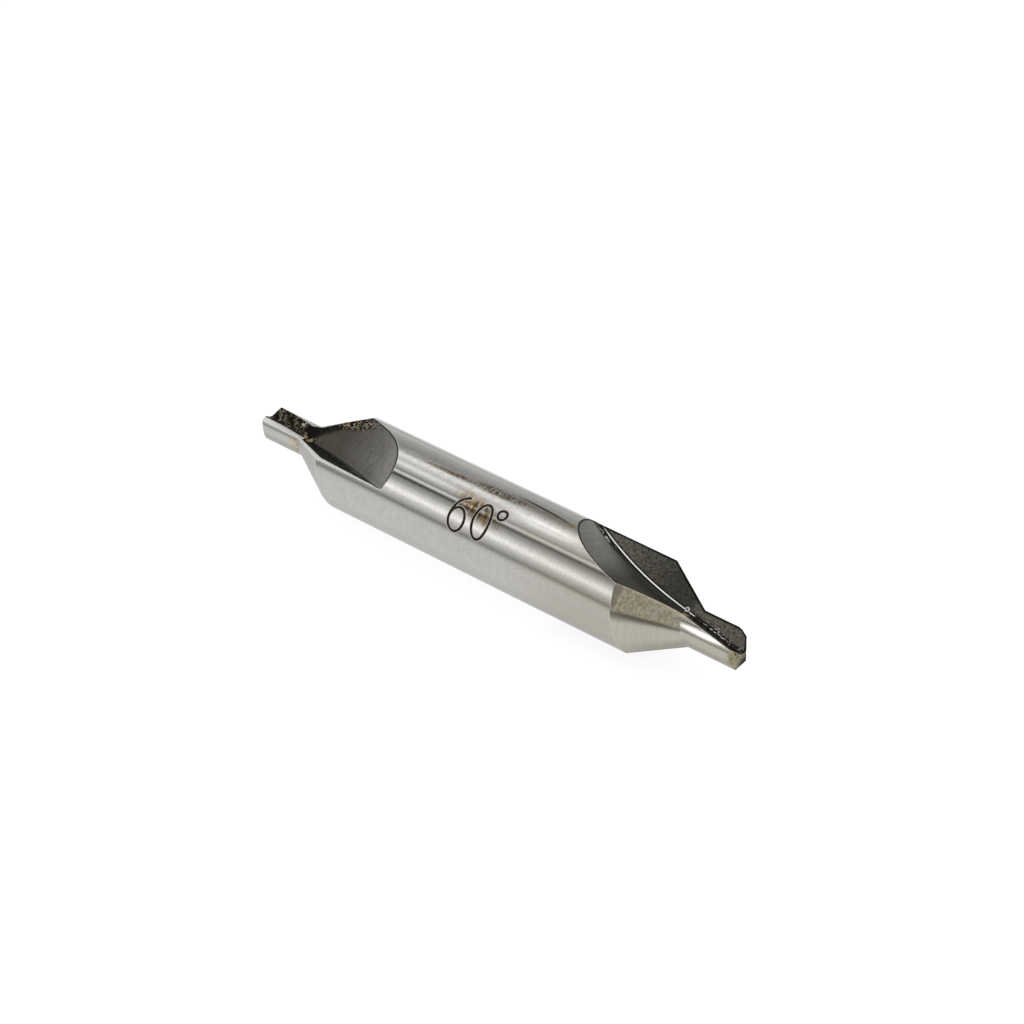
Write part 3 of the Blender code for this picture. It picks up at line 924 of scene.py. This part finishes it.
def root_paint(tree, marks, edge):
    """The flute's root: burnished and painted near white as a highlight on the right end's countersink,
    brightest at the glint, with bright dashes on its pilot.
    """
    flat, along, _ = unrolled(tree)
    after = add(tree, "ShaderNodeMapRange", {0: along, 1: ROOT_BRIGHT_FROM[0], 2: ROOT_BRIGHT_FROM[1]})
    before = add(tree, "ShaderNodeMapRange", {0: along, 1: ROOT_BRIGHT_TO[0], 2: ROOT_BRIGHT_TO[1]})
    glint = patch(tree, flat, (13.6, 60.0), (6.5, 400.0))
    level = add(tree, "ShaderNodeMapRange", {0: glint, 3: 0.62, 4: 1.0})
    burnished = add(tree, "ShaderNodeMath", {0: after, 1: before}, operation="MULTIPLY")
    bright = add(tree, "ShaderNodeMath", {0: burnished, 1: level}, operation="MULTIPLY")
    streaks = grain(tree, (0.6, 0.1, 0.1), 1.0)
    dashes = add(tree, "ShaderNodeMapRange", {0: streaks, 1: 0.56, 2: 0.62, 4: 0.8})
    share = add(tree, "ShaderNodeMath", {0: bright, 1: dashes}, operation="MAXIMUM")
    inputs = {0: share, 6: linear("#2C2923"), 7: linear("#F4F2EE")}
    right = add(tree, "ShaderNodeMix", inputs, data_type="RGBA").outputs[2]
    left = flute_tone(tree, grain(tree, (0.1, 0.9, 0.9)))
    at_right = add(tree, "ShaderNodeMath", {0: along, 1: 0.0}, operation="GREATER_THAN")
    rough = add(tree, "ShaderNodeMapRange", {0: at_right, 3: 0.48, 4: 0.14})
    inputs = {0: at_right, 6: left, 7: right}
    tone = add(tree, "ShaderNodeMix", inputs, data_type="RGBA")
    return tone.outputs[2], rough


def corner_paint(tree, marks, edge):
    """Beside the root: painted nearly black as shade at the right end, as the rest of the flute at the left end.
    """
    _, along, _ = unrolled(tree)
    inputs = {0: marks, 6: linear("#16140F"), 7: linear("#2C2A24")}
    black = add(tree, "ShaderNodeMix", inputs, data_type="RGBA").outputs[2]
    left = flute_tone(tree, grain(tree, (0.1, 0.9, 0.9)))
    at_right = add(tree, "ShaderNodeMath", {0: along, 1: 0.0}, operation="GREATER_THAN")
    rough = add(tree, "ShaderNodeMapRange", {0: marks, 3: 0.5, 4: 0.4})
    inputs = {0: at_right, 6: left, 7: black}
    tone = add(tree, "ShaderNodeMix", inputs, data_type="RGBA")
    return tone.outputs[2], rough


def mark_paint(tree, marks, edge):
    """The engraved strokes hold dark brown dirt, unevenly."""
    rough = add(tree, "ShaderNodeMapRange", {0: marks, 3: 0.6, 4: 0.45})
    inputs = {0: marks, 6: linear("#26211A"), 7: linear("#584C3C")}
    tone = add(tree, "ShaderNodeMix", inputs, data_type="RGBA")
    return tone.outputs[2], rough


def golden_paint(tree, marks, edge):
    """Burrs that the grinding heat has turned golden brown."""
    rough = add(tree, "ShaderNodeMapRange", {0: marks, 3: 0.5, 4: 0.3})
    inputs = {0: marks, 6: linear("#54412A"), 7: linear("#DCCBA0")}
    tone = add(tree, "ShaderNodeMix", inputs, data_type="RGBA")
    return tone.outputs[2], rough


def chip_paint(tree, marks, edge):
    """Fresh bright chips."""
    rough = add(tree, "ShaderNodeMapRange", {0: marks, 3: 0.35, 4: 0.2})
    inputs = {0: marks, 6: linear("#A8A6A0"), 7: linear("#F2F0EC")}
    tone = add(tree, "ShaderNodeMix", inputs, data_type="RGBA")
    return tone.outputs[2], rough


# Stage


def place_camera():
    data = bpy.data.cameras.new("camera")
    data.lens = CAMERA_LENS
    data.sensor_width = CAMERA_SENSOR
    back = Vector(
        (
            math.cos(CAMERA_ELEVATION) * math.sin(CAMERA_AZIMUTH),
            -math.cos(CAMERA_ELEVATION) * math.cos(CAMERA_AZIMUTH),
            math.sin(CAMERA_ELEVATION),
        )
    )
    camera = bpy.data.objects.new("camera", data)
    camera.location = CAMERA_AIM + CAMERA_DISTANCE * back
    camera.rotation_euler = (-back).to_track_quat("-Z", "Y").to_euler()
    data.clip_start, data.clip_end = CAMERA_CLIP
    bpy.context.scene.collection.objects.link(camera)
    bpy.context.scene.camera = camera


def light_studio():
    """The world: soft boxes and walls as the tables say, and plain white to the camera."""
    world = bpy.data.worlds.new("studio")
    bpy.context.scene.world = world
    world.use_nodes = True
    tree = world.node_tree
    tree.nodes.clear()
    direction = add(tree, "ShaderNodeSeparateXYZ", {0: add(tree, "ShaderNodeTexCoord").outputs["Generated"]})
    front = add(tree, "ShaderNodeMath", {0: direction.outputs["Y"], 1: -1.0}, operation="MULTIPLY")
    roll = add(tree, "ShaderNodeMath", {0: direction.outputs["Z"], 1: front}, operation="ARCTAN2")
    place = add(tree, "ShaderNodeMapRange", {0: roll, 1: -math.pi, 2: math.pi})
    brightest = max(level for _, level in STUDIO)
    sides = []
    for levels in (STUDIO, STUDIO_RIGHT):
        bands = add(tree, "ShaderNodeValToRGB", {0: place})
        sides.append(bands.outputs["Color"])
        ramp = bands.color_ramp
        while len(ramp.elements) < len(levels):
            ramp.elements.new(0.5)
        for element, (angle, level) in zip(ramp.elements, levels):
            element.position = (angle + 180.0) / 360.0
            element.color = (*[level / brightest] * 3, 1.0)
    rightness = add(
        tree,
        "ShaderNodeMapRange",
        {0: direction.outputs["X"], 1: STUDIO_RIGHT_FROM, 2: STUDIO_RIGHT_TO},
        interpolation_type="SMOOTHSTEP",
    )
    round_it = add(tree, "ShaderNodeMix", {0: rightness, 6: sides[0], 7: sides[1]}, data_type="RGBA")
    side = add(tree, "ShaderNodeMath", {0: direction.outputs["X"]}, operation="ABSOLUTE")
    end = add(
        tree,
        "ShaderNodeMapRange",
        {0: side, 1: STUDIO_END_FROM, 2: STUDIO_END_TO},
        interpolation_type="SMOOTHSTEP",
    )
    end_colour = (*[STUDIO_END / brightest] * 3, 1.0)
    light = add(tree, "ShaderNodeMix", {0: end, 6: round_it.outputs[2], 7: end_colour}, data_type="RGBA")
    studio = add(tree, "ShaderNodeBackground", {"Color": light.outputs[2], "Strength": brightest})
    white = add(tree, "ShaderNodeBackground", {"Color": (1.0, 1.0, 1.0, 1.0), "Strength": 1.0})
    to_eye = add(tree, "ShaderNodeLightPath").outputs["Is Camera Ray"]
    seen = add(tree, "ShaderNodeMixShader", {0: to_eye, 1: studio, 2: white})
    output = add(tree, "ShaderNodeOutputWorld")
    tree.links.new(seen.outputs[0], output.inputs["Surface"])


def lay_floor():
    """A white studio floor: it reads white to the eye and in the steel, and keeps a soft shadow; in the steel it
    also shows a painted shadow under the drill.
    """
    material, tree, output = material_for("white matt studio floor")
    path = add(tree, "ShaderNodeLightPath")
    mirrored = add(
        tree,
        "ShaderNodeMath",
        {0: path.outputs["Is Glossy Ray"], 1: path.outputs["Is Transmission Ray"]},
        operation="MAXIMUM",
    )
    place = add(tree, "ShaderNodeSeparateXYZ", {0: add(tree, "ShaderNodeTexCoord").outputs["Object"]})
    away = add(tree, "ShaderNodeMath", {0: place.outputs["Y"]}, operation="ABSOLUTE")
    # Near the drill the glow seen in the steel is cut, as a painted shadow
    kept = FLOOR_GLOW_IN_STEEL
    for (near, far), (at_near, at_far) in (PAINTED_SHADOW_UNDER_DRILL, FAR_OFF):
        inputs = {0: away, 1: near * MM, 2: far * MM, 3: at_near, 4: at_far}
        near_it = add(tree, "ShaderNodeMapRange", inputs)
        kept = add(tree, "ShaderNodeMath", {0: kept, 1: near_it}, operation="MULTIPLY")
    strength = add(tree, "ShaderNodeMix", {0: mirrored, 2: FLOOR_GLOW, 3: kept}, data_type="FLOAT")
    in_steel = add(tree, "ShaderNodeMath", {0: mirrored, 1: FLOOR_SHARE_IN_STEEL}, operation="MULTIPLY")
    inputs = {0: path.outputs["Is Camera Ray"], 1: FLOOR_SHARE, 2: in_steel}
    share = add(tree, "ShaderNodeMath", inputs, operation="MULTIPLY_ADD")
    paint = add(tree, "ShaderNodeBsdfDiffuse", {"Color": linear("#E8E8E8")})
    glow = add(tree, "ShaderNodeEmission", {"Color": (1.0, 1.0, 1.0, 1.0), "Strength": strength})
    mixed = add(tree, "ShaderNodeMixShader", {0: share, 1: paint, 2: glow})
    tree.links.new(mixed.outputs[0], output.inputs["Surface"])
    bm = bmesh.new()
    bmesh.ops.create_grid(bm, x_segments=1, y_segments=1, size=FLOOR_SIZE)
    bmesh.ops.translate(bm, verts=bm.verts, vec=(0.0, 0.0, -SHANK_RADIUS))
    floor = object_from(bm, "floor", (material,))


def main():
    bpy.context.scene.view_settings.view_transform = "Standard"
    place_camera()
    light_studio()
    lay_floor()
    # Real grinding marks lie hundredths of a millimetre apart. They are drawn coarser, so that they show.
    materials = (
        steel("cylindrically ground high-speed steel", (0.12, 2.5, 2.5), 0.3e-6, 0.8, shank_paint),
        steel("relief-ground high-speed steel", (0.12, 1.5, 1.5), 0.5e-6, 0.6, land_paint),
        steel("wheel-ground back wall", (0.1, 0.9, 0.9), 1.0e-6, 0.0, wall_paint),
        steel("flat-ground cutting face", (0.2, 0.2, 0.2), 1.0e-6, 0.0, face_paint),
        steel("burnished flute root with painted highlight", (0.2, 0.2, 0.2), 0.4e-6, 0.0, root_paint),
        steel("ground corner painted dark as shade", (0.15, 0.15, 0.15), 1.0e-6, 0.0, corner_paint),
        steel("blackened engraving", (0.35, 0.35, 0.35), 1.0e-6, 0.0, mark_paint),
    )
    drill = ground_drill(materials)
    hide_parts(NODE)
    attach(drill, "root")
    surface = BVHTree.FromObject(drill, bpy.context.evaluated_depsgraph_get())
    golden = steel("heat-tinted burr", (0.1, 0.1, 0.1), 1.0e-6, 0.0, golden_paint)
    bright = steel("fresh steel chip", (0.1, 0.1, 0.1), 1.0e-6, 0.0, chip_paint)
    burrs("golden_burrs", surface, GOLDEN_CRUMBS, GOLDEN_CURLS, golden, CRUMB_SEED)
    burrs("bright_chips", surface, BRIGHT_CRUMBS, BRIGHT_CURLS, bright, CRUMB_SEED + 1)


main()
